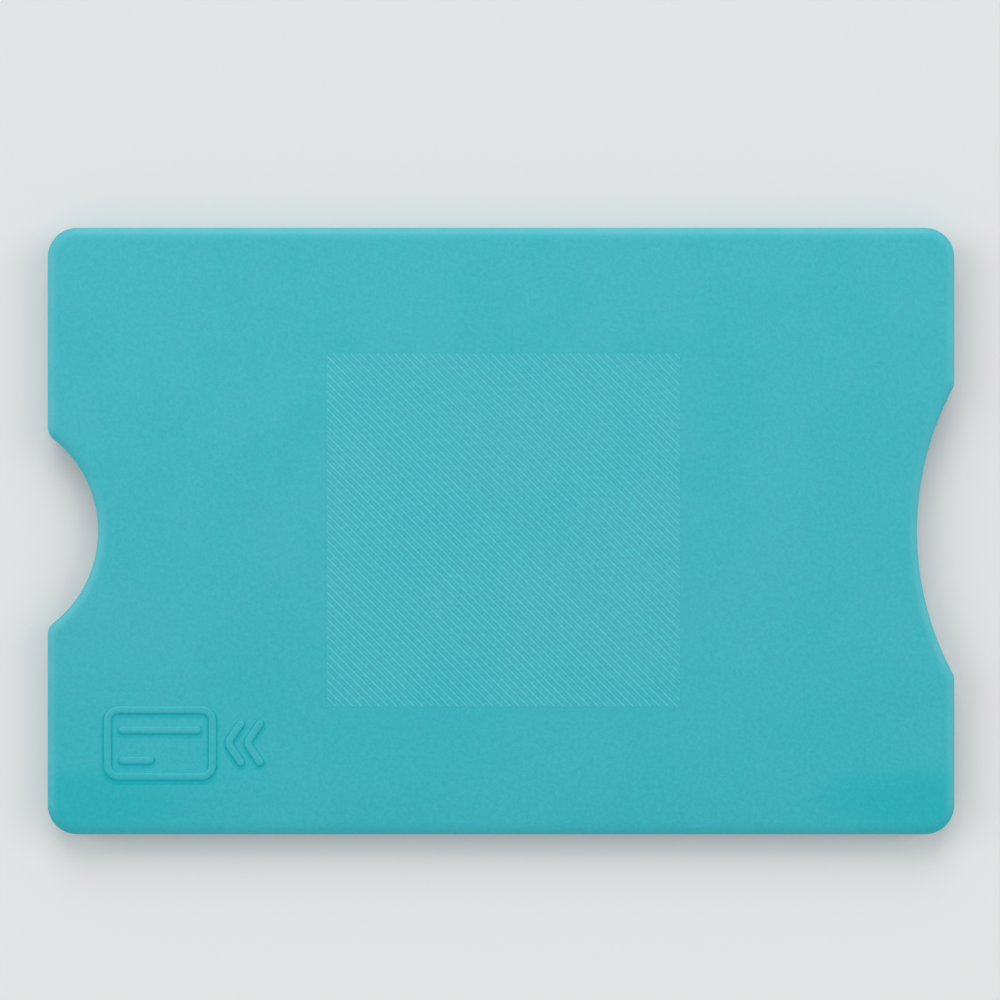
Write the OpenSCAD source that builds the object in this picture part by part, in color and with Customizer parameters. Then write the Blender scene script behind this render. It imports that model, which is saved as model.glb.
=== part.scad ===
// Rigid sleeve for one payment card, with a metal sheet on each side of the pocket.
// It lies flat on its rear face. +X runs along it to the open mouth, and +Z points out of the front face.
// The origin is at the centre of the rear face.

/* [Card that it holds] */
// Length of the card
card_l = 85.6; // [70:0.1:120]
// Width of the card
card_w = 53.98; // [45:0.01:80]
// Thickness of the card
card_t = 0.76; // [0.5:0.01:2]
// Radius of the card's corners
card_corner_r = 3.18; // [2:0.01:6]

/* [Pocket] */
// Free width beside the card, both sides together
side_play = 0.62; // [0.2:0.01:1.5]
// Free height over the card, which lets embossed figures pass
height_play = 0.64; // [0.3:0.01:1.5]
// Radius of the pocket's two closed corners
pocket_corner_r = 1.6; // [0.5:0.1:3]
// Length of the lead-in at the mouth
lead_in_l = 2.5; // [1:0.1:4]
// Widening of the lead-in on each side
lead_in_w = 0.5; // [0.2:0.1:1]
// Fall of each wall along the lead-in
lead_in_h = 0.3; // [0.1:0.05:0.35]

/* [Covers] */
// Thickness of the flat walls over the card
wall_t = 1.0; // [0.85:0.05:2]
// Width of the two rails beside the card
rail_w = 2.8; // [2.2:0.1:6]
// Thickness of the stops that the card's far end meets
stop_t = 2.2; // [2:0.1:3]
// Thickness of a stop at its tip beside the notch
stop_tip_t = 0.8; // [0.4:0.1:1.2]
// Length of the sleeve beyond the card's end, at the mouth
mouth_margin = 2.2; // [1.5:0.1:8]
// Radius of the sleeve's four corners
corner_r = 2.9; // [2:0.1:8]
// Radius of the broad rounding that leaves the outer face
crown_r = 1.8; // [1.2:0.05:2]
// Radius of the small rounding between the broad one and the side
edge_r = 0.2; // [0.1:0.05:0.25]
// Chamfer along the parting line
seam_chamfer = 0.1; // [0.05:0.01:0.2]

/* [Thumb notch in the closed end] */
// Radius of the notch
notch_r = 11.6; // [10:0.1:15]
// Depth of the notch
notch_depth = 5.0; // [3.5:0.1:7]
// Radius of the notch's shoulders
notch_shoulder_r = 1.5; // [1.3:0.1:2.5]

/* [Finger cut in the mouth] */
// Radius of the cut
cut_r = 30.0; // [25:0.5:36]
// Depth of the cut
cut_depth = 3.7; // [2.5:0.05:4.5]
// Radius of the cut's shoulders
cut_shoulder_r = 1.5; // [1.3:0.1:2.5]

/* [Welded joint of the covers] */
// Distance from the sleeve's side to the tongue
tongue_inset = 0.9; // [0.6:0.05:1]
// Width of the tongue
tongue_w = 0.7; // [0.4:0.05:0.8]
// Height of the tongue
tongue_h = 0.35; // [0.2:0.05:0.5]
// Clearance of the tongue in its groove, on each side and at its tip
tongue_clearance = 0.05; // [0.02:0.01:0.1]
// Distance of the tongue's ends from the notch and from the lead-in
tongue_end_gap = 0.8; // [0.5:0.1:2]

/* [Card catches] */
// Radius of the small ribs that catch the card's corners
catch_r = 0.6; // [0.4:0.05:1]
// How far a catch stands into the pocket
catch_reach = 0.25; // [0.1:0.05:0.4]

/* [Shield sheets] */
// Thickness of a sheet
shield_t = 0.12; // [0.05:0.01:0.2]
// Depth of a sheet's face below the pocket's wall
shield_sink = 0.04; // [0.02:0.01:0.1]
// Clearance around a sheet in its recess
shield_clearance = 0.1; // [0.05:0.01:0.3]
// Distance from a sheet's edge to the rails, the stops and the lead-in
shield_border = 1.2; // [0.6:0.1:3]
// Distance from a sheet's edge to the notch and the finger cut
shield_setback = 1.4; // [0.8:0.1:3]
// Radius of a sheet's corners
shield_corner_r = 1.0; // [0.5:0.1:3]

/* [Hidden] */
$fn = 96;
// How far a cutting shape runs past what it cuts
over = 1;
// How deep two round surfaces cross where they would only touch
overlap = 0.01;

sleeve_l = stop_t + card_l + mouth_margin;
pocket_w = card_w + side_play;
sleeve_w = pocket_w + 2 * rail_w;
pocket_h = card_t + height_play;
sleeve_t = pocket_h + 2 * wall_t;
half_t = sleeve_t / 2;

// Sine and cosine of the slope at which the two roundings of the outer edge meet
edge_slope = [0.6, 0.8];
// Centre of the small rounding, from the point where the broad one leaves the outer face
edge_centre = [edge_slope[0], -edge_slope[1]] * (crown_r - edge_r) + [0, crown_r];
edge_w = edge_centre.x + edge_r;
edge_h = edge_centre.y;

pocket_x0 = -sleeve_l / 2 + stop_t;
card_x1 = pocket_x0 + card_l;
catch_x = card_x1 - card_corner_r / 2;
recess_d = shield_t + shield_sink;

// An end opening is a radius, a depth and a shoulder radius.
notch = [notch_r, notch_depth, notch_shoulder_r];
cut = [cut_r, cut_depth, cut_shoulder_r];

// How far the centre of the opening's arc lies outside the end face
function arc_out(o) = o[0] - o[1];
// Distance of a shoulder's centre from the centreline. It stands proud of the opening's arc by overlap.
function shoulder_y(o) = sqrt(pow(o[0] + o[2] - overlap, 2) - pow(arc_out(o) + o[2], 2));

// Half the width of the gap between the stops, where they have narrowed to their tip
stop_gap_y = sqrt(max(0, pow(notch_r, 2) - pow(arc_out(notch) + stop_t - stop_tip_t, 2)));

cover_colour = [0.27, 0.71, 0.75];
shield_colour = [0.78, 0.79, 0.80];

// Puts its children at the closed end (side -1) or at the mouth (side 1), drawn from the end face inwards.
module at_end(side) {
    mirror([side > 0 ? 1 : 0, 0, 0])
        translate([-sleeve_l / 2, 0, 0])
            children();
}

// A rectangle with round corners, centred.
module round_rect(l, w, r) {
    square([l - 2 * r, w], center = true);
    square([l, w - 2 * r], center = true);
    for (sx = [-1, 1], sy = [-1, 1])
        translate([sx * (l / 2 - r), sy * (w / 2 - r)])
            circle(r);
}

// The round part of a cover's section, from the outer face at x = 0 to the side at x = edge_w.
// Its two arcs meet on the line from the broad one's centre to foot.
module edge_lip() {
    foot = edge_centre + edge_h * [edge_slope[0] / edge_slope[1], -1];
    intersection() {
        translate([0, crown_r])
            circle(crown_r);
        polygon([[0, 0], foot, edge_centre, [0, edge_h]]);
    }
    intersection() {
        translate(edge_centre)
            circle(edge_r);
        polygon([edge_centre, foot, [foot.x, edge_h]]);
    }
}

// Half of a cover's section, out to x = w: round at the outer face, chamfered at the parting line.
module half_section(w) {
    polygon([
        [0, 0],
        [w - edge_w, 0],
        [w - edge_w, edge_h],
        [w, edge_h],
        [w, half_t - seam_chamfer],
        [w - seam_chamfer, half_t],
        [0, half_t]
    ]);
    translate([w - edge_w, 0])
        edge_lip();
}

// A bar along X with that section on both sides.
module edged_bar(l, w) {
    translate([-l / 2, 0, 0])
        rotate([90, 0, 90])
            linear_extrude(l) {
                half_section(w / 2);
                mirror([1, 0])
                    half_section(w / 2);
            }
}

// A disc with that section.
module edged_disc(r) {
    rotate_extrude()
        half_section(r);
}

// A round cutter that leaves that section on the edge around it.
module edged_cutter(r) {
    rotate_extrude() {
        difference() {
            translate([0, -over])
                square([r + edge_w, over + edge_h]);
            translate([r + edge_w, 0])
                mirror([1, 0])
                    edge_lip();
        }
        square([r, half_t]);
        polygon([
            [0, half_t - seam_chamfer],
            [r, half_t - seam_chamfer],
            [r + seam_chamfer + over, half_t + over],
            [0, half_t + over]
        ]);
    }
}

// What an end opening takes away: its arc, and the throat between its shoulders' centres.
module opening_waste(o) {
    y = shoulder_y(o);
    a = atan2(y, arc_out(o) + o[2]);
    inner = (o[0] - over) * [cos(a), sin(a)] - [arc_out(o), 0];
    translate([0, 0, -over])
        linear_extrude(half_t + 2 * over)
            polygon([
                [-over, -y],
                [o[2], -y],
                [inner.x, -inner.y],
                inner,
                [o[2], y],
                [-over, y]
            ]);
    translate([-arc_out(o), 0, 0])
        edged_cutter(o[0]);
}

// The two round shoulders of an end opening.
module shoulders(o) {
    for (sy = [-1, 1])
        translate([o[2], sy * shoulder_y(o), 0])
            edged_disc(o[2]);
}

// One half of the sleeve's outer form, solid, lying on its outer face.
module outer_half() {
    difference() {
        union() {
            edged_bar(sleeve_l - 2 * corner_r, sleeve_w);
            rotate([0, 0, 90])
                edged_bar(sleeve_w - 2 * corner_r, sleeve_l);
            for (sx = [-1, 1], sy = [-1, 1])
                translate([sx * (sleeve_l / 2 - corner_r), sy * (sleeve_w / 2 - corner_r), 0])
                    edged_disc(corner_r);
        }
        at_end(-1) opening_waste(notch);
        at_end(1) opening_waste(cut);
    }
    at_end(-1) shoulders(notch);
    at_end(1) shoulders(cut);
}

// The pocket's outline: two round closed corners, a gap in the stops at the notch, and a flared mouth.
module pocket_area() {
    x1 = sleeve_l / 2;
    flare = lead_in_w * over / lead_in_l;
    difference() {
        translate([pocket_x0, -pocket_w / 2])
            square([x1 + over - pocket_x0, pocket_w]);
        for (m = [0, 1])
            mirror([0, m])
                translate([pocket_x0, pocket_w / 2])
                    difference() {
                        translate([-over, -pocket_corner_r])
                            square([over + pocket_corner_r, pocket_corner_r + over]);
                        translate([pocket_corner_r, -pocket_corner_r])
                            circle(pocket_corner_r);
                    }
    }
    for (m = [0, 1])
        mirror([0, m])
            polygon([
                [x1 - lead_in_l, pocket_w / 2],
                [x1 - lead_in_l, 0],
                [x1 + over, 0],
                [x1 + over, pocket_w / 2 + lead_in_w + flare]
            ]);
    translate([-sleeve_l / 2, -stop_gap_y])
        square([stop_t + pocket_corner_r, 2 * stop_gap_y]);
}

// A shield sheet's outline, grown by a clearance for its recess.
module shield_area(grow) {
    x0 = pocket_x0 + shield_border - grow;
    x1 = sleeve_l / 2 - lead_in_l - shield_border + grow;
    w = pocket_w - 2 * shield_border + 2 * grow;
    difference() {
        translate([(x0 + x1) / 2, 0])
            round_rect(x1 - x0, w, shield_corner_r + grow);
        at_end(-1)
            translate([-arc_out(notch), 0])
                circle(notch_r + shield_setback - grow);
        at_end(1)
            translate([-arc_out(cut), 0])
                circle(cut_r + shield_setback - grow);
    }
}

// The wedge that slopes a wall down to the mouth's end face, as wide as the flared pocket.
module lead_in_slope() {
    l = lead_in_l + over;
    intersection() {
        translate([sleeve_l / 2 - lead_in_l, sleeve_w / 2, wall_t])
            rotate([90, 0, 0])
                linear_extrude(sleeve_w)
                    polygon([[0, 0], [l, -lead_in_h * l / lead_in_l], [l, over], [0, over]]);
        linear_extrude(half_t)
            pocket_area();
    }
}

// The sleeve's outline without its end openings, drawn a distance inside the real edge.
module plate(inset) {
    round_rect(sleeve_l - 2 * inset, sleeve_w - 2 * inset, corner_r - inset);
}

// The tongue's outline along the rails and stops, grown by a clearance for its groove.
module tongue_area(grow) {
    x1 = sleeve_l / 2 - lead_in_l - tongue_end_gap + grow;
    y0 = shoulder_y(notch) + tongue_end_gap - grow;
    difference() {
        plate(tongue_inset - grow);
        plate(tongue_inset + tongue_w + grow);
        translate([-sleeve_l / 2, -y0])
            square([sleeve_l / 2, 2 * y0]);
        translate([x1, -sleeve_w / 2])
            square([sleeve_l, sleeve_w]);
    }
}

// What both covers have: one moulded half with its pocket, recess and catches.
module cover_half() {
    difference() {
        outer_half();
        translate([0, 0, wall_t])
            linear_extrude(half_t)
                pocket_area();
        lead_in_slope();
        translate([0, 0, wall_t - recess_d])
            linear_extrude(half_t)
                shield_area(shield_clearance);
    }
    for (sy = [-1, 1])
        translate([catch_x, sy * (pocket_w / 2 + catch_r - catch_reach), wall_t / 2])
            cylinder(r = catch_r, h = half_t - wall_t / 2);
}

module rear_cover() {
    color(cover_colour) {
        cover_half();
        translate([0, 0, wall_t])
            linear_extrude(half_t - wall_t + tongue_h)
                tongue_area(0);
    }
}

module front_cover() {
    color(cover_colour)
        translate([0, 0, sleeve_t])
            mirror([0, 0, 1])
                difference() {
                    cover_half();
                    translate([0, 0, half_t - tongue_h - tongue_clearance])
                        linear_extrude(half_t)
                            tongue_area(tongue_clearance);
                }
}

// One sheet, lying on the floor of the rear cover's recess.
module shield_sheet() {
    translate([0, 0, wall_t - recess_d])
        linear_extrude(shield_t)
            shield_area(0);
}

module rear_shield() {
    color(shield_colour)
        shield_sheet();
}

module front_shield() {
    color(shield_colour)
        translate([0, 0, sleeve_t])
            mirror([0, 0, 1])
                shield_sheet();
}

rear_cover();
front_cover();
rear_shield();
front_shield();
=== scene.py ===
"""Looks of a rigid card sleeve: two moulded covers, two metal sheets, a ribbed panel and a raised sign.

Lengths are in metres, unless a comment says millimetres. The row frame is the CAD's: the sleeve lies on its
rear face, +X runs to the mouth, +Y across it to the far long side, and +Z out of the front face.
"""
import math

import bmesh
import bpy
from mathutils import Matrix, Vector


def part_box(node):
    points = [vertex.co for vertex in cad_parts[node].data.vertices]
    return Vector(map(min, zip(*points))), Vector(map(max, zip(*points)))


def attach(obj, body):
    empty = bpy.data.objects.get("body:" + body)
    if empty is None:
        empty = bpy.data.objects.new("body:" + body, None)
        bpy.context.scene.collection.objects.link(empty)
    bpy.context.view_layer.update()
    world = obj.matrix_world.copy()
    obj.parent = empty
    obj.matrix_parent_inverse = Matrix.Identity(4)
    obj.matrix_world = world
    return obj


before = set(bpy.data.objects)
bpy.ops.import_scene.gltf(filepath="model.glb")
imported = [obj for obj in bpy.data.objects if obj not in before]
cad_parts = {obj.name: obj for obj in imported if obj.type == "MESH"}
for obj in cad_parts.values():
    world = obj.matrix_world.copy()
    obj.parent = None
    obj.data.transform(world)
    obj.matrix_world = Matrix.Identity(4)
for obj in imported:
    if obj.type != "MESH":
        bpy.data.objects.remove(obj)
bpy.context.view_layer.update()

MM = 0.001
FRONT_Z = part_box("front_cover")[1].z


# Nodes

def link_or_set(tree, socket, value):
    """Links another node's output to the socket, or sets the socket to a plain value."""
    if isinstance(value, bpy.types.NodeSocket):
        tree.links.new(value, socket)
    else:
        socket.default_value = value


def add(tree, kind, inputs=(), **settings):
    """Adds a node. inputs is {socket name or number: value or output}."""
    node = tree.nodes.new("ShaderNode" + kind)
    for name, value in settings.items():
        setattr(node, name, value)
    for name, value in dict(inputs).items():
        link_or_set(tree, node.inputs[name], value)
    return node


def calc(tree, operation, a, b=0.0, clamp=False):
    """A Math node's output."""
    return add(tree, "Math", {0: a, 1: b}, operation=operation, use_clamp=clamp).outputs[0]


def times(tree, a, b):
    """The product of two values."""
    return calc(tree, "MULTIPLY", a, b)


def per(tree, length):
    """How many times a length goes into a metre: the density of a texture with cells of that size."""
    return calc(tree, "DIVIDE", 1.0, length)


def remap(tree, value, low, high, to_low=0.0, to_high=1.0):
    """Value moved smoothly from the range low to high into the range to_low to to_high."""
    return add(
        tree, "MapRange",
        {"Value": value, "From Min": low, "From Max": high, "To Min": to_low, "To Max": to_high},
        interpolation_type="SMOOTHSTEP",
    ).outputs["Result"]


def noise(tree, place, density, detail, roughness=0.5):
    """A smooth noise between 0 and 1. density is its cells per metre."""
    return add(tree, "TexNoise", {
        "Vector": place, "Scale": density, "Detail": detail, "Roughness": roughness}).outputs["Fac"]


def components(tree, vector):
    """The X, Y and Z outputs of a vector."""
    return add(tree, "SeparateXYZ", {"Vector": vector}).outputs


def vector_calc(tree, operation, a, b):
    """A VectorMath node's vector."""
    return add(tree, "VectorMath", {0: a, 1: b}, operation=operation).outputs["Vector"]


def blend_colours(tree, share, first, second):
    """A colour that goes from first to second as share goes from 0 to 1."""
    node = add(tree, "Mix", data_type="RGBA")
    link_or_set(tree, node.inputs["Factor"], share)
    link_or_set(tree, node.inputs["A"], first)
    link_or_set(tree, node.inputs["B"], second)
    return node.outputs["Result"]


# Node groups: the effects that several materials share

def new_group(name, inputs, outputs):
    """A node group with named sockets, its inputs as outputs to link from, and its outputs to link to."""
    tree = bpy.data.node_groups.new(name, "ShaderNodeTree")
    for socket, (kind, default) in inputs.items():
        made = tree.interface.new_socket(socket, in_out="INPUT", socket_type="NodeSocket" + kind)
        if default is not None:
            made.default_value = default
    for socket in outputs:
        tree.interface.new_socket(socket, in_out="OUTPUT", socket_type="NodeSocketFloat")
    return tree, tree.nodes.new("NodeGroupInput").outputs, tree.nodes.new("NodeGroupOutput").inputs


def use_group(tree, group, inputs):
    """Places a node group in a tree."""
    node = tree.nodes.new("ShaderNodeGroup")
    node.node_tree = group
    for name, value in inputs.items():
        link_or_set(tree, node.inputs[name], value)
    return node.outputs


# Density of the finer pits and of the broad mottling, against that of the pits
FINER, BROADER = 1.9, 0.05
# Shares of the pits and of the finer pits in the height
PIT_SHARE, FINE_SHARE = 0.55, 0.45


def moulded_grain():
    """Fine pits and mottling of a blasted mould. Cell is the size of a pit in metres."""
    tree, given, out = new_group(
        "moulded_grain",
        {"Position": ("Vector", None), "Cell": ("Float", 0.3 * MM), "Stretch": ("Vector", (1, 1, 1))},
        ("Height", "Mottle"),
    )
    place = vector_calc(tree, "MULTIPLY", given["Position"], given["Stretch"])
    density = per(tree, given["Cell"])
    pits = noise(tree, place, density, detail=2.0, roughness=0.6)
    fine = noise(tree, place, times(tree, density, FINER), detail=1.0)
    height = calc(tree, "ADD", times(tree, pits, PIT_SHARE), times(tree, fine, FINE_SHARE))
    link_or_set(tree, out["Height"], height)
    link_or_set(tree, out["Mottle"], noise(tree, place, times(tree, density, BROADER), detail=4.0))
    return tree


# A surface's tilt is the sine of its angle to the face. The edge mask, a painted highlight on edges that are
# also made smoother, grows over the first range of tilts, from the flat face on, and ends over the second,
# before the upright side
TILT_FROM_FACE, TILT_TO_SIDE = (0.03, 0.50), (0.84, 0.99)
# The range of the normal's Y over which it grows from its share on the lower long side, which faces away
# from the lamps and so takes less painted highlight, to the whole
LOW_SIDE_TURN, LOW_SIDE_SHARE = (-0.35, 0.10), 0.10
# The range of the patches' noise over which it grows from its share between them to the whole
PATCH_LEVELS, PATCH_SHARE = (0.35, 0.7), 0.6


def edge_sheen_and_rub():
    """A mask of the rounded outer edges, broken up by a patchy noise: it paints a highlight into their
    colour and makes them smoother.
    """
    tree, given, out = new_group(
        "edge_sheen_and_rub",
        {"Position": ("Vector", None), "Normal": ("Vector", None), "Patch": ("Float", 3 * MM)},
        ("Mask",),
    )
    turned = components(tree, given["Normal"])
    flatness = times(tree, turned["Z"], turned["Z"])
    tilt = calc(tree, "SQRT", calc(tree, "SUBTRACT", 1.0, flatness, clamp=True))
    off_face = remap(tree, tilt, *TILT_FROM_FACE)
    off_side = remap(tree, tilt, *TILT_TO_SIDE, 1.0, 0.0)
    off_low_side = remap(tree, turned["Y"], *LOW_SIDE_TURN, LOW_SIDE_SHARE, 1.0)
    bent = times(tree, times(tree, off_face, off_side), off_low_side)
    patches = noise(tree, given["Position"], per(tree, given["Patch"]), detail=3.0)
    patchy = remap(tree, patches, *PATCH_LEVELS, PATCH_SHARE, 1.0)
    link_or_set(tree, out["Mask"], calc(tree, "MULTIPLY", bent, patchy, clamp=True))
    return tree


# The part of its reach over which a tone is full
FULL_REACH = 0.2


def placed_tone():
    """A mask of a place and its mirror image at the sleeve's other end. It fades out over its reach."""
    tree, given, out = new_group(
        "placed_tone",
        {"Position": ("Vector", None), "Place": ("Vector", (0, 0, 0)), "Reach": ("Vector", (1, 1, 1))},
        ("Mask",),
    )
    spot = components(tree, given["Position"])
    folded = add(tree, "CombineXYZ", {
        "X": calc(tree, "ABSOLUTE", spot["X"]), "Y": spot["Y"]}).outputs["Vector"]
    away = vector_calc(tree, "SUBTRACT", folded, given["Place"])
    away = vector_calc(tree, "DIVIDE", away, given["Reach"])
    far = add(tree, "VectorMath", {0: away}, operation="LENGTH").outputs["Value"]
    link_or_set(tree, out["Mask"], remap(tree, far, FULL_REACH, 1.0, 1.0, 0.0))
    return tree


# The share of places that stay without a speck
BARE_PLACES = 0.55


def dust_specks():
    """A mask of sparse specks. Spacing is how far apart they may lie, and Size a speck's size against it."""
    tree, given, out = new_group(
        "dust_specks",
        {"Position": ("Vector", None), "Spacing": ("Float", 3 * MM), "Size": ("Float", 0.06)},
        ("Mask",),
    )
    cells = add(tree, "TexVoronoi", {"Vector": given["Position"], "Scale": per(tree, given["Spacing"])})
    chance = add(tree, "SeparateColor", {"Color": cells.outputs["Color"]}).outputs["Red"]
    reach = times(tree, given["Size"], remap(tree, chance, BARE_PLACES, 1.0))
    link_or_set(tree, out["Mask"], calc(tree, "LESS_THAN", cells.outputs["Distance"], reach))
    return tree


GRAIN = moulded_grain()
EDGE_SHEEN_AND_RUB = edge_sheen_and_rub()
TONE = placed_tone()
SPECKS = dust_specks()


def tone_at(tree, position, where):
    """The mask of a tone. where is the middle of its place and its reach."""
    place, reach = where
    return use_group(tree, TONE, {"Position": position, "Place": place, "Reach": reach})["Mask"]


# Materials

def new_material(name):
    """A material with only a Principled shader, its node tree and that shader."""
    material = bpy.data.materials.new(name)
    material.use_nodes = True
    tree = material.node_tree
    tree.nodes.clear()
    shader = add(tree, "BsdfPrincipled")
    add(tree, "OutputMaterial", {"Surface": shader.outputs["BSDF"]})
    return material, tree, shader


PIT_CELL = 0.42 * MM
SHEEN_AND_RUB_PATCH = 2.5 * MM
PLASTIC_SPECKS = {"Spacing": 6 * MM, "Size": 0.03}
PLASTIC_IOR = 1.5

# Where the painted shade and sheen lie: the middle of each place, and its reach
LOW_CORNERS = (43 * MM, -26.8 * MM, 0), (21 * MM, 5.6 * MM, 1)
LOW_SIDE = (0, -31 * MM, 0), (200 * MM, 26 * MM, 1)
LOW_HALF = (0, -40 * MM, 0), (1, 75 * MM, 1)
LOW_EDGE = (0, -31 * MM, 0), (1, 8 * MM, 1)
SHEEN_ENDS = (47 * MM, 10 * MM, 0), (13 * MM, 36 * MM, 1)

# The painted shade of the lower corners, where they lose their sheen, as shares of the colour's red, green
# and blue, and its share along the whole lower side
CORNER_SHADE_SHARES = (0.0, 0.955, 0.96)
LOW_SIDE_SHADE_SHARE = 0.34
# How far the red moves either way between cool and warm places, and what the ends add to the warmth as a
# painted sheen
RED_STEP = 0.0055
END_SHEEN_WARMTH = 0.5
# How much darker the lower half is than the upper, and how much more its edge is: painted shade, for the
# lamps stand past the far side
LOW_HALF_SHADE, LOW_EDGE_SHADE = 0.058, 0.032
# Ranges of the grain's mottle or height, and what it gives over each: warmth, brightness, roughness
WARMTH_LEVELS, WARMTH = (0.34, 0.66), (0.05, 0.95)
MOTTLE_LEVELS, MOTTLE_SHADE = (0.3, 0.7), (0.994, 1.006)
PIT_LEVELS, PIT_SHADE = (0.36, 0.64), (-0.048, 0.048)
ROUGH_LEVELS, PIT_ROUGHNESS = (0.3, 0.7), (-0.05, 0.05)
# How much of the painted edge highlight's colour shows on the masked edges, and how much smoother they are
PAINTED_SHEEN_SHARE, RUB_POLISH = 0.44, 0.12
SPECK_COLOUR, SPECK_SHARE = (0.02, 0.16, 0.18, 1), 0.45
# A raised stroke's walls lose their painted foot shade over this range of the normal's Y, down to this
# share, so that walls facing the far side, towards the main lamp, are painted lighter
FAR_WALL_TURN, FAR_WALL_SHARE = (0.0, 0.2), 0.35


def plastic_colour(tree, surface, grain, colour, foot_shade):
    """The plastic's colour with its painted shade and sheen, before the painted edge highlight and the
    specks. surface is its texture coordinates.
    """
    place = surface["Object"]
    shaded_colour = tuple(part * share for part, share in zip(colour, CORNER_SHADE_SHARES)) + (1,)
    cool, warm = [(max(0.0, colour[0] + step), *colour[1:]) for step in (-RED_STEP, RED_STEP)]
    # The mottle warms the colour at random, and the ends take a painted sheen as added red
    warmth = calc(tree, "ADD", remap(tree, grain["Mottle"], *WARMTH_LEVELS, *WARMTH),
                  times(tree, tone_at(tree, place, SHEEN_ENDS), END_SHEEN_WARMTH), clamp=True)
    uneven = blend_colours(tree, warmth, cool, warm)
    # Painted shade: the low corners, and more faintly the whole lower side, lose their sheen
    deep = calc(tree, "MAXIMUM", tone_at(tree, place, LOW_CORNERS),
                times(tree, tone_at(tree, place, LOW_SIDE), LOW_SIDE_SHADE_SHARE))
    tinted = blend_colours(tree, deep, uneven, shaded_colour)
    # Painted shade at the foot of a raised stroke, lighter on walls that face the far side and its lamp
    if foot_shade:
        foot_shade_colour, none_at, full_at = foot_shade
        lift = calc(tree, "SUBTRACT", components(tree, place)["Z"], FRONT_Z)
        facing = remap(tree, components(tree, surface["Normal"])["Y"], *FAR_WALL_TURN, 1.0, FAR_WALL_SHARE)
        low = times(tree, remap(tree, lift, none_at, full_at), facing)
        tinted = blend_colours(tree, low, tinted, foot_shade_colour)
    shade = calc(tree, "ADD", remap(tree, grain["Height"], *PIT_LEVELS, *PIT_SHADE),
                 remap(tree, grain["Mottle"], *MOTTLE_LEVELS, *MOTTLE_SHADE))
    # Painted shade: darker over the lower half, and more at the lower edge
    for where, darker in ((LOW_HALF, LOW_HALF_SHADE), (LOW_EDGE, LOW_EDGE_SHADE)):
        shade = calc(tree, "SUBTRACT", shade, times(tree, tone_at(tree, place, where), darker))
    return add(tree, "VectorMath", {0: tinted, "Scale": shade}, operation="SCALE").outputs["Vector"]


def moulded_plastic(name, colour, sheen_colour, roughness, pit_depth, shine=0.5, foot_shade=None):
    """Matte moulded plastic with mould grain, uneven colour, a painted highlight on its smoother rounded
    edges, painted shade low down, a painted sheen at the ends, and specks.

    The last argument gives painted shade at the foot of a raised stroke: a colour, the lift over the front
    face at which it isn't seen, and that at which it is full.
    """
    material, tree, shader = new_material(name)
    surface = add(tree, "TexCoord").outputs
    place = surface["Object"]
    grain = use_group(tree, GRAIN, {"Position": place, "Cell": PIT_CELL})
    sheen_and_rub = use_group(tree, EDGE_SHEEN_AND_RUB, {
        "Position": place, "Normal": surface["Normal"], "Patch": SHEEN_AND_RUB_PATCH})["Mask"]
    specks = use_group(tree, SPECKS, {"Position": place, **PLASTIC_SPECKS})["Mask"]

    tinted = plastic_colour(tree, surface, grain, colour, foot_shade)
    # Painted highlight on the rounded edges
    tinted = blend_colours(tree, times(tree, sheen_and_rub, PAINTED_SHEEN_SHARE), tinted, sheen_colour)
    tinted = blend_colours(tree, times(tree, specks, SPECK_SHARE), tinted, SPECK_COLOUR)
    link_or_set(tree, shader.inputs["Base Color"], tinted)

    rough = calc(tree, "ADD", remap(tree, grain["Height"], *ROUGH_LEVELS, *PIT_ROUGHNESS), roughness)
    rough = calc(tree, "SUBTRACT", rough, times(tree, sheen_and_rub, RUB_POLISH), clamp=True)
    link_or_set(tree, shader.inputs["Roughness"], rough)
    shader.inputs["IOR"].default_value = PLASTIC_IOR
    shader.inputs["Specular IOR Level"].default_value = shine

    bump = add(tree, "Bump", {"Height": grain["Height"], "Strength": 1.0, "Distance": pit_depth})
    link_or_set(tree, shader.inputs["Normal"], bump.outputs["Normal"])
    return material


# Rolling lines and broad waves: a cell's size, its stretch and its depth, and the strength of the lines
LINE_CELL, LINE_STRETCH, LINE_DEPTH, LINE_STRENGTH = 0.09 * MM, (0.02, 1.0, 1.0), 0.004 * MM, 0.6
WAVE_CELL, WAVE_STRETCH, WAVE_DEPTH = 5 * MM, (0.5, 1.0, 1.0), 0.04 * MM
# The range of the lines' height, how dark the darkest line is, and the roughness over that range
LINE_LEVELS, LINE_SHADE, LINE_ROUGHNESS = (0.3, 0.7), 0.88, (0.28, 0.44)
METAL_SPECKS = {"Spacing": 4 * MM, "Size": 0.03}
DULL_COLOUR, DULL_SHARE = (0.3, 0.3, 0.31, 1), 0.6


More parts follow.
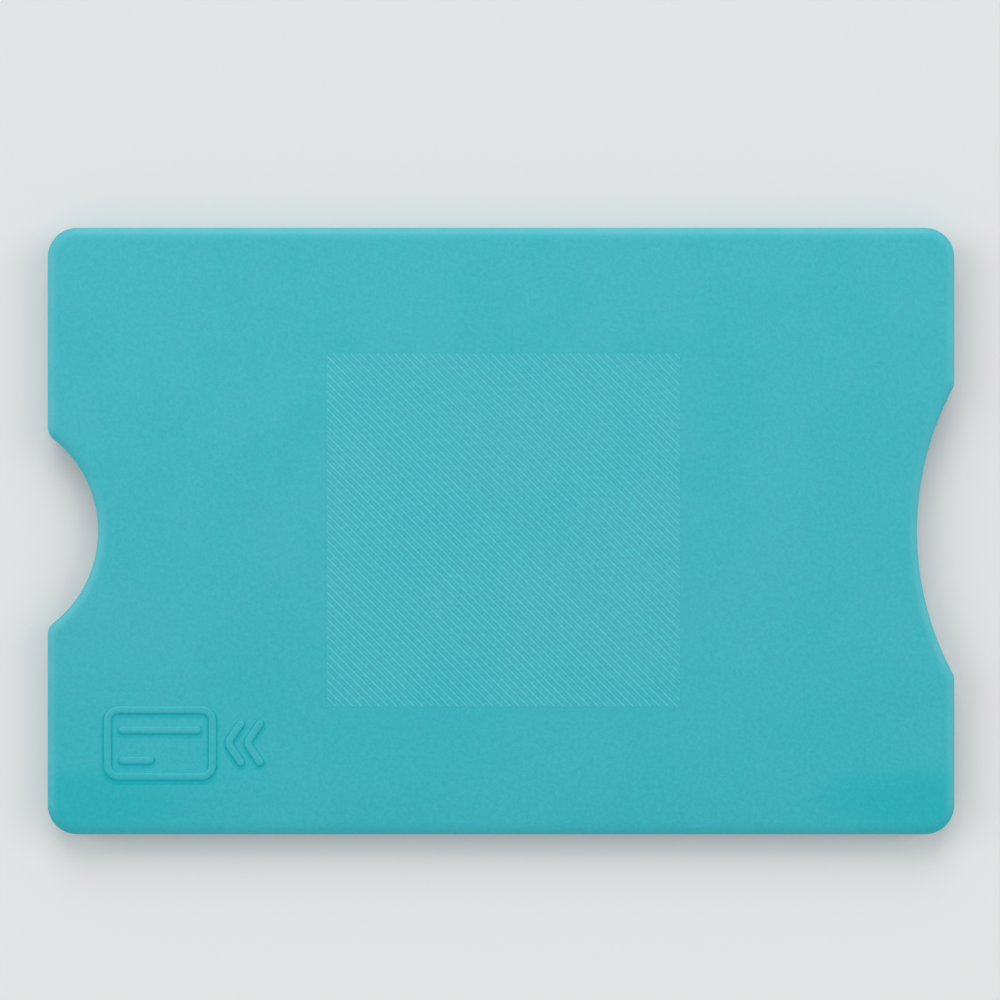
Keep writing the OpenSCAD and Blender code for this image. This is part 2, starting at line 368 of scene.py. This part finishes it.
def rolled_metal(name, colour):
    """Thin rolled metal sheet: lines along its length, faint waviness and dull specks."""
    material, tree, shader = new_material(name)
    place = add(tree, "TexCoord").outputs["Object"]
    lines, waves = [
        use_group(tree, GRAIN, {"Position": place, "Cell": cell, "Stretch": stretch})["Height"]
        for cell, stretch in ((LINE_CELL, LINE_STRETCH), (WAVE_CELL, WAVE_STRETCH))]
    specks = use_group(tree, SPECKS, {"Position": place, **METAL_SPECKS})["Mask"]
    darker = tuple(part * LINE_SHADE for part in colour[:3]) + (1,)
    tinted = blend_colours(tree, remap(tree, lines, *LINE_LEVELS), darker, colour)
    tinted = blend_colours(tree, times(tree, specks, DULL_SHARE), tinted, DULL_COLOUR)
    link_or_set(tree, shader.inputs["Base Color"], tinted)
    shader.inputs["Metallic"].default_value = 1.0
    link_or_set(tree, shader.inputs["Roughness"], remap(tree, lines, *LINE_LEVELS, *LINE_ROUGHNESS))
    broad = add(tree, "Bump", {"Height": waves, "Strength": 1.0, "Distance": WAVE_DEPTH})
    bump = add(tree, "Bump", {
        "Height": lines, "Strength": LINE_STRENGTH, "Distance": LINE_DEPTH,
        "Normal": broad.outputs["Normal"]})
    link_or_set(tree, shader.inputs["Normal"], bump.outputs["Normal"])
    return material


COVER_COLOUR = (0.0275, 0.435, 0.505, 1)
# The colour of the highlight painted onto the rounded edges
COVER_EDGE_SHEEN = (0.090, 0.475, 0.535, 1)
PANEL_COLOUR = (0.040, 0.447, 0.511, 1)
GROOVE_COLOUR = (0.035, 0.429, 0.490, 1)
RIDGE_COLOUR = (0.064, 0.512, 0.583, 1)
SIGN_COLOUR = (0.030, 0.438, 0.506, 1)
SIGN_FOOT_SHADE_COLOUR = (0.0, 0.350, 0.400, 1)
METAL_COLOUR = (0.78, 0.79, 0.80, 1)
# The painted shade at the foot of the sign's strokes and the painted shadow on their skirts: its colour, the
# lift over the face at which it isn't seen, and the lift at which it is full
STROKE_FOOT_SHADE = (SIGN_FOOT_SHADE_COLOUR, 0.052 * MM, 0.012 * MM)
SKIRT_PAINTED_SHADOW = (SIGN_FOOT_SHADE_COLOUR, 0.002 * MM, 0.010 * MM)

cover_plastic = moulded_plastic(
    "cover_plastic_matte", COVER_COLOUR, COVER_EDGE_SHEEN, roughness=0.56, pit_depth=0.022 * MM)
panel_plastic = moulded_plastic(
    "panel_plastic_matte", PANEL_COLOUR, COVER_EDGE_SHEEN, roughness=0.60, pit_depth=0.024 * MM)
groove_plastic = moulded_plastic(
    "groove_plastic_matte", GROOVE_COLOUR, GROOVE_COLOUR, roughness=0.60, pit_depth=0.010 * MM)
ridge_plastic = moulded_plastic(
    "ridge_plastic_rubbed", RIDGE_COLOUR, RIDGE_COLOUR, roughness=0.56, pit_depth=0.004 * MM)
# The sign's strokes, with painted shade at their foot, and their skirts, which carry a painted shadow
sign_plastic = moulded_plastic(
    "sign_plastic_matte", SIGN_COLOUR, SIGN_COLOUR, roughness=0.54, pit_depth=0.016 * MM,
    foot_shade=STROKE_FOOT_SHADE)
shadow_skirt_plastic = moulded_plastic(
    "sign_skirt_painted_shadow", COVER_COLOUR, COVER_COLOUR, roughness=0.66, pit_depth=0.016 * MM, shine=0.2,
    foot_shade=SKIRT_PAINTED_SHADOW)
shield_metal = rolled_metal("shield_metal_rolled", METAL_COLOUR)

NODE_MATERIALS = {
    "rear_cover": cover_plastic, "front_cover": cover_plastic,
    "rear_shield": shield_metal, "front_shield": shield_metal,
}
for node_name, node_material in NODE_MATERIALS.items():
    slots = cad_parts[node_name].data.materials
    slots.clear()
    slots.append(node_material)


# Pieces on the front face

def finish_piece(name, mesh, materials, sharp_deg):
    """Turns a bmesh into a smooth-shaded piece that rides with the sleeve."""
    bmesh.ops.recalc_face_normals(mesh, faces=mesh.faces)
    data = bpy.data.meshes.new(name)
    mesh.to_mesh(data)
    mesh.free()
    data.shade_smooth()
    data.set_sharp_from_angle(angle=math.radians(sharp_deg))
    for material in materials:
        data.materials.append(material)
    piece = bpy.data.objects.new(name, data)
    bpy.context.scene.collection.objects.link(piece)
    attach(piece, "root")


PANEL_SIDE = 35.0 * MM
PANEL_CENTRE = Vector((0.25 * MM, 0.10 * MM, FRONT_Z))
# A little more than half the panel's diagonal
PANEL_REACH = 0.75 * PANEL_SIDE
RIDGE_PITCH = 0.6135 * MM
# Distance of the middle ridge from the panel's centre
RIDGE_SHIFT = -0.21 * MM
# Half a ridge's section in millimetres, from its groove's edge to its crown: distance from its middle,
# height over the face
RIDGE_SECTION = ((0.250, 0.010), (0.215, 0.005), (0.085, 0.005), (0.055, 0.028), (0.020, 0.040))
# The material of each face of a ridge's section, from one foot over the crown to the next ridge: 0 panel,
# 1 groove, 2 ridge
RIDGE_FACES = (1, 1, 2, 2, 2, 2, 2, 1, 1, 0)
# How deep the panel stands in the cover
PANEL_SUNK = 0.05 * MM
PANEL_SHARP_DEG = 25
# Points of a cut that lie closer than this to its plane count as on it
CUT_SLACK = 1e-9


def panel_section():
    """The section across all the ridges: distance from the panel's centre, height over the face."""
    count = math.ceil(PANEL_REACH / RIDGE_PITCH)
    section = []
    for i in range(-count, count + 1):
        middle = i * RIDGE_PITCH + RIDGE_SHIFT
        for side, points in ((-1, RIDGE_SECTION), (1, RIDGE_SECTION[::-1])):
            section += [(middle + side * u * MM, h * MM) for u, h in points]
    return section


def trim_to_square(mesh):
    """Cuts a closed mesh off at the panel's four sides and closes the cuts."""
    for axis in (Vector((1, 0, 0)), Vector((0, 1, 0))):
        for sign in (-1, 1):
            cut = bmesh.ops.bisect_plane(
                mesh, geom=mesh.verts[:] + mesh.edges[:] + mesh.faces[:], dist=CUT_SLACK, clear_outer=True,
                plane_co=PANEL_CENTRE + axis * sign * PANEL_SIDE / 2, plane_no=axis * sign)
            edges = [part for part in cut["geom_cut"] if isinstance(part, bmesh.types.BMEdge)]
            bmesh.ops.holes_fill(mesh, edges=edges)


def ribbed_panel():
    """A thin pad with fine ridges that run from the upper left to the lower right."""
    along = Vector((1, -1, 0)).normalized()
    across = Vector((1, 1, 0)).normalized()
    section = panel_section()
    mesh = bmesh.new()
    rows = []
    for end in (-PANEL_REACH, PANEL_REACH):
        foot = PANEL_CENTRE + along * end
        rows.append([mesh.verts.new(foot + across * u + Vector((0, 0, h))) for u, h in section])
        rows.append([mesh.verts.new(foot + across * u - Vector((0, 0, PANEL_SUNK))) for u, _ in section])
    top_a, low_a, top_b, low_b = rows
    for j in range(len(section) - 1):
        face = mesh.faces.new((top_a[j], top_a[j + 1], top_b[j + 1], top_b[j]))
        face.material_index = RIDGE_FACES[j % len(RIDGE_FACES)]
        mesh.faces.new((low_a[j], low_b[j], low_b[j + 1], low_a[j + 1]))
        mesh.faces.new((top_a[j], low_a[j], low_a[j + 1], top_a[j + 1]))
        mesh.faces.new((top_b[j], top_b[j + 1], low_b[j + 1], low_b[j]))
    for j in (0, -1):
        mesh.faces.new((top_a[j], top_b[j], low_b[j], low_a[j]))
    trim_to_square(mesh)
    finish_piece("ribbed_panel", mesh, (panel_plastic, groove_plastic, ridge_plastic), PANEL_SHARP_DEG)


STROKE = 0.70 * MM
# A raised stroke's section in millimetres, from its sunk skirt to its top: inset from the stroke's edge,
# height over the face, and how far that line lies towards the lower long side. The skirt is a ring of
# painted shadow round the stroke's foot, shifted towards the lower long side as a cast shadow would be
STROKE_SECTION = (
    (-0.30, -0.05, 0.22), (-0.30, 0.002, 0.22), (-0.14, 0.005, 0.09), (-0.07, 0.010, 0.03),
    (0.0, 0.012, 0.0), (0.05, 0.036, 0.0), (0.11, 0.056, 0.0), (0.19, 0.070, 0.0), (0.27, 0.076, 0.0))
# The steps of that section that are the skirt, which is another material that carries the painted shadow
SKIRT_STEPS = 4
# Faces round a corner's arc and round a stroke's end
ARC_STEPS, CAP_STEPS = 8, 10


def rounded_path(points, radius, closed):
    """Points along a polyline whose corners are arcs of that radius."""
    made = []
    count = len(points)
    for i, point in enumerate(points):
        if not closed and i in (0, count - 1):
            made.append(Vector(point))
            continue
        point = Vector(point)
        back = (Vector(points[i - 1]) - point).normalized()
        ahead = (Vector(points[(i + 1) % count]) - point).normalized()
        half = back.angle(ahead) / 2
        middle = point + (back + ahead).normalized() * radius / math.sin(half)
        first = point + back * radius / math.tan(half) - middle
        last = point + ahead * radius / math.tan(half) - middle
        turn = first.angle_signed(last)
        for k in range(ARC_STEPS + 1):
            made.append(middle + Matrix.Rotation(-turn * k / ARC_STEPS, 2) @ first)
    return made


def side_way(path, i, closed):
    """The direction across a path at one of its points, to its left."""
    count = len(path)
    before = path[i - 1] if closed or i > 0 else path[i]
    after = path[(i + 1) % count] if closed or i < count - 1 else path[i]
    way = (after - before).normalized()
    return Vector((-way.y, way.x))


def stroke_sides(path, ways, reach, closed):
    """A stroke's outline at a reach from its path: two loops if closed, or else one with round ends."""
    left = [p + w * reach for p, w in zip(path, ways)]
    right = [p - w * reach for p, w in zip(path, ways)]
    if closed:
        return left, right
    caps = [
        [end + Matrix.Rotation(-math.pi * k / CAP_STEPS, 2) @ (way * reach) for k in range(1, CAP_STEPS)]
        for end, way in ((path[-1], ways[-1]), (path[0], -ways[0]))]
    return left + caps[0] + right[::-1] + caps[1], []


def raised_stroke(mesh, path, closed):
    """A rounded stroke along a path on the front face, as a closed skin."""
    ways = [side_way(path, i, closed) for i in range(len(path))]
    rings = []
    for inset, height, shadow_shift in STROKE_SECTION:
        rings.append([
            [mesh.verts.new((p.x, p.y - shadow_shift * MM, FRONT_Z + height * MM)) for p in side]
            for side in stroke_sides(path, ways, STROKE / 2 - inset * MM, closed)])
    for step, (low, high) in enumerate(zip(rings, rings[1:])):
        for a, b in zip(low, high):
            for i in range(len(a)):
                face = mesh.faces.new((a[i - 1], a[i], b[i], b[i - 1]))
                face.material_index = 1 if step < SKIRT_STEPS else 0
    for left, right in (rings[0], rings[-1]):
        if closed:
            for i in range(len(path)):
                mesh.faces.new((left[i - 1], left[i], right[i], right[i - 1]))
        else:
            mesh.faces.new(left)


# The sign's measures, in millimetres. Its card: the lower left corner, the size and the corners' radius
SIGN_LEFT, SIGN_LOW = -39.0, -24.3
SIGN_CARD, CARD_CORNER = (10.4, 6.6), 1.1
# The card's stripe and the line below it: how far in they start, the stripe's distance from the card's top,
# the line's from its foot, and where the line ends
CARD_MARGIN, STRIPE_DOWN, LINE_UP, LINE_END = 1.5, 2.0, 1.6, 4.2
# The chevrons: how far their tips lie from the card, an arm's reach along and across, and a tip's radius
CHEVRON_TIPS, CHEVRON_ARM, CHEVRON_RADIUS = (1.5, 3.4), (1.3, 1.9), 0.75
SIGN_SHARP_DEG = 40


def loading_sign():
    """A raised card with its stripe, and two chevrons that show which way it goes in."""
    long, tall = SIGN_CARD
    left, low = SIGN_LEFT, SIGN_LOW
    right, top = left + long, low + tall
    stripe, line, middle = top - STRIPE_DOWN, low + LINE_UP, low + tall / 2
    strokes = [
        ([(left, low), (right, low), (right, top), (left, top)], CARD_CORNER, True),
        ([(left + CARD_MARGIN, stripe), (right - CARD_MARGIN, stripe)], 0, False),
        ([(left + CARD_MARGIN, line), (left + LINE_END, line)], 0, False),
    ]
    along, across = CHEVRON_ARM
    for gap in CHEVRON_TIPS:
        tip = right + gap
        chevron = [(tip + along, middle + across), (tip, middle), (tip + along, middle - across)]
        strokes.append((chevron, CHEVRON_RADIUS, False))
    mesh = bmesh.new()
    for points, radius, closed in strokes:
        path = rounded_path([(x * MM, y * MM) for x, y in points], radius * MM, closed)
        raised_stroke(mesh, path, closed)
    finish_piece("loading_sign", mesh, (sign_plastic, shadow_skirt_plastic), SIGN_SHARP_DEG)


ribbed_panel()
loading_sign()


# Camera, light and floor

LENS_MM, SENSOR_MM = 100.0, 36.0
CLIP_NEAR, CLIP_FAR = 0.01, 20.0
# The picture's side where it meets the front face, and the point of that face at its middle
VIEW_SIDE = 99.1 * MM
AIM = Vector((-0.1 * MM, 3.08 * MM, FRONT_Z))


def place_camera(scene):
    """A camera that looks straight down on the front face."""
    data = bpy.data.cameras.new("camera")
    data.lens = LENS_MM
    data.sensor_width = SENSOR_MM
    data.clip_start = CLIP_NEAR
    data.clip_end = CLIP_FAR
    camera = bpy.data.objects.new("camera", data)
    camera.location = AIM + Vector((0, 0, VIEW_SIDE * LENS_MM / SENSOR_MM))
    scene.collection.objects.link(camera)
    scene.camera = camera


# Each lamp: its name, the way from the sleeve to it, and its strength
SUNS = (
    ("sun_far", (-0.05, 0.80, 0.60), 1.02),
    ("sun_left", (-0.80, 0.20, 0.60), 0.60),
    ("sun_right", (0.80, 0.20, 0.60), 0.55),
)
SUN_SPREAD_DEG = 40


def place_lamps(scene):
    """Distant soft lamps: the main one past the far long side, and one past each end."""
    for name, towards, strength in SUNS:
        data = bpy.data.lights.new(name, "SUN")
        data.energy = strength
        data.angle = math.radians(SUN_SPREAD_DEG)
        lamp = bpy.data.objects.new(name, data)
        lamp.rotation_euler = Vector(towards).to_track_quat("Z", "Y").to_euler()
        scene.collection.objects.link(lamp)


ROOM_COLOUR, ROOM_STRENGTH = (1, 1, 1, 1), 0.615
BACKDROP_COLOUR = (0.80, 0.81, 0.815, 1)


def light_room(scene):
    """An even white room that lights the sleeve, seen and mirrored as a pale backdrop."""
    world = bpy.data.worlds.new("studio")
    scene.world = world
    world.use_nodes = True
    tree = world.node_tree
    tree.nodes.clear()
    rays = add(tree, "LightPath").outputs
    seen = calc(tree, "MAXIMUM", calc(tree, "MAXIMUM", rays["Is Camera Ray"], rays["Is Glossy Ray"]),
                rays["Is Transmission Ray"])
    room = add(tree, "Background", {"Color": ROOM_COLOUR, "Strength": ROOM_STRENGTH})
    backdrop = add(tree, "Background", {"Color": BACKDROP_COLOUR, "Strength": 1.0})
    mixed = add(tree, "MixShader", {0: seen, 1: room.outputs[0], 2: backdrop.outputs[0]})
    add(tree, "OutputWorld", {"Surface": mixed.outputs[0]})


FLOOR_RADIUS, FLOOR_SEGMENTS = 4.0, 96
# How far the floor lies below the sleeve's rear face
FLOOR_DROP = 0.02 * MM
FLOOR_COLOUR, FLOOR_ROUGHNESS = (0.74, 0.745, 0.75, 1), 0.9


def lay_floor(scene):
    """A plain pale floor."""
    mesh = bmesh.new()
    bmesh.ops.create_circle(mesh, cap_ends=True, segments=FLOOR_SEGMENTS, radius=FLOOR_RADIUS)
    data = bpy.data.meshes.new("floor")
    mesh.to_mesh(data)
    mesh.free()
    material, _, shader = new_material("floor_pale")
    shader.inputs["Base Color"].default_value = FLOOR_COLOUR
    shader.inputs["Roughness"].default_value = FLOOR_ROUGHNESS
    data.materials.append(material)
    floor = bpy.data.objects.new("floor", data)
    floor.location.z = -FLOOR_DROP
    scene.collection.objects.link(floor)


bpy.context.scene.view_settings.view_transform = "Standard"
place_camera(bpy.context.scene)
place_lamps(bpy.context.scene)
light_room(bpy.context.scene)
lay_floor(bpy.context.scene)
